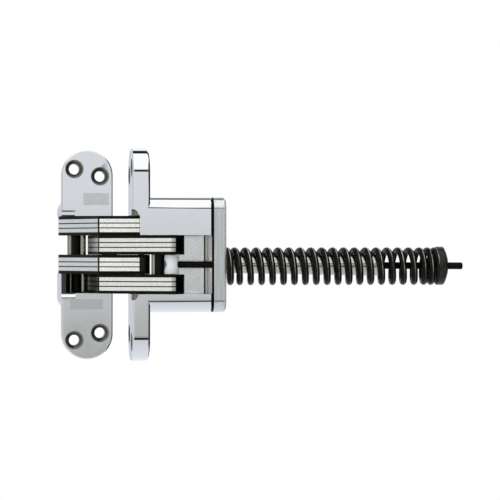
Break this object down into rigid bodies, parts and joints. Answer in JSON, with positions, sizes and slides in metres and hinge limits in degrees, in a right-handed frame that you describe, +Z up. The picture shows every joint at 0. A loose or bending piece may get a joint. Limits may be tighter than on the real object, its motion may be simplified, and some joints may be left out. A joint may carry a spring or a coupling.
{
  "type": "concealed hinge with spring closer",
  "caption": "Concealed door hinge with laminated crossed links between two cast leaves, and a rod, guide tube and compression spring that pull the door shut.",
  "frame": {"origin": "centre of the frame leaf's face, in the plane of the face", "axes": "+X from the frame leaf towards the door leaf and along the closer's rod, +Y into the door frame, +Z up"},
  "size_m": [0.2231, 0.0845, 0.1174],
  "materials": {
    "casting_chrome": "polished plating",
    "link_steel": "fine satin",
    "black_steel": "black oxide with a light oil sheen",
    "pin_steel": "ground",
    "cap_steel": "coarse upright brushing",
    "tube_nickel": "warm satin nickel",
    "trunnion_chrome": "polished"
  },
  "bodies": {
    "frame_leaf": {"frame_casting": "casting_chrome", "frame_pivot_pin": "pin_steel"},
    "door_links": {"door_link_row_2_lower_cheek": "black_steel", "door_link_row_2_lamination_1": "link_steel", "door_link_row_2_lamination_2": "link_steel", "door_link_row_2_lamination_3": "link_steel", "door_link_row_2_upper_cheek": "black_steel", "door_link_row_4_lower_cheek": "black_steel", "door_link_row_4_lamination_1": "link_steel", "door_link_row_4_lamination_2": "link_steel", "door_link_row_4_lamination_3": "link_steel", "door_link_row_4_upper_cheek": "black_steel", "centre_pin": "pin_steel", "door_spacer_pin": "pin_steel", "door_roller_pin": "black_steel"},
    "frame_links": {"frame_link_row_1_lower_cheek": "black_steel", "frame_link_row_1_lamination_1": "link_steel", "frame_link_row_1_lamination_2": "link_steel", "frame_link_row_1_lamination_3": "link_steel", "frame_link_row_1_upper_cheek": "black_steel", "frame_link_row_3_lower_cheek": "black_steel", "frame_link_row_3_lamination_1": "link_steel", "frame_link_row_3_lamination_2": "link_steel", "frame_link_row_3_lamination_3": "link_steel", "frame_link_row_3_upper_cheek": "black_steel", "frame_slider_pin": "pin_steel", "frame_spacer_pin": "pin_steel", "frame_roller_pin": "black_steel"},
    "door_leaf": {"door_casting": "casting_chrome", "door_pivot_pin": "pin_steel", "closer_cap": "cap_steel", "cap_screws": "pin_steel", "guide_tube": "tube_nickel", "closer_spring": "black_steel"},
    "trunnion": {"trunnion": "trunnion_chrome"},
    "closer_rod": {"closer_rod": "black_steel", "spring_seat": "black_steel"}
  },
  "joints": [
    {"name": "leaf_swing", "type": "hinge", "parent": "frame_leaf", "child": "door_links", "pos_m": [0.0104, 0.007, 0], "axis": [0, 0, 1], "range_deg": [-62.55, 62.55]},
    {"name": "link_cross", "type": "hinge", "parent": "door_links", "child": "frame_links", "pos_m": [0.0139, -0.0084, 0], "axis": [0, 0, 1], "range_deg": [-35.11, 35.11]},
    {"name": "door_leaf_pivot", "type": "hinge", "parent": "frame_links", "child": "door_leaf", "pos_m": [0.0293, -0.0119, 0], "axis": [0, 0, 1], "range_deg": [-62.56, 62.56]},
    {"name": "trunnion_turn", "type": "hinge", "parent": "door_links", "child": "trunnion", "pos_m": [0.0443, -0.0301, 0], "axis": [0, 0, 1], "range_deg": [-27.46, 27.46]},
    {"name": "closer_rod_slide", "type": "slide", "parent": "door_leaf", "child": "closer_rod", "axis": [1, 0, 0], "range_m": [-0.0092, 0.0092], "deforming": ["closer_spring"]}
  ],
  "couplings": [
    {"joint": "link_cross", "follows": "leaf_swing", "ratio": -0.56115},
    {"joint": "door_leaf_pivot", "follows": "leaf_swing", "ratio": 1},
    {"joint": "trunnion_turn", "follows": "leaf_swing", "ratio": 0.43885},
    {"joint": "closer_rod_slide", "follows": "leaf_swing", "m_per_rad": -0.0083}
  ]
}
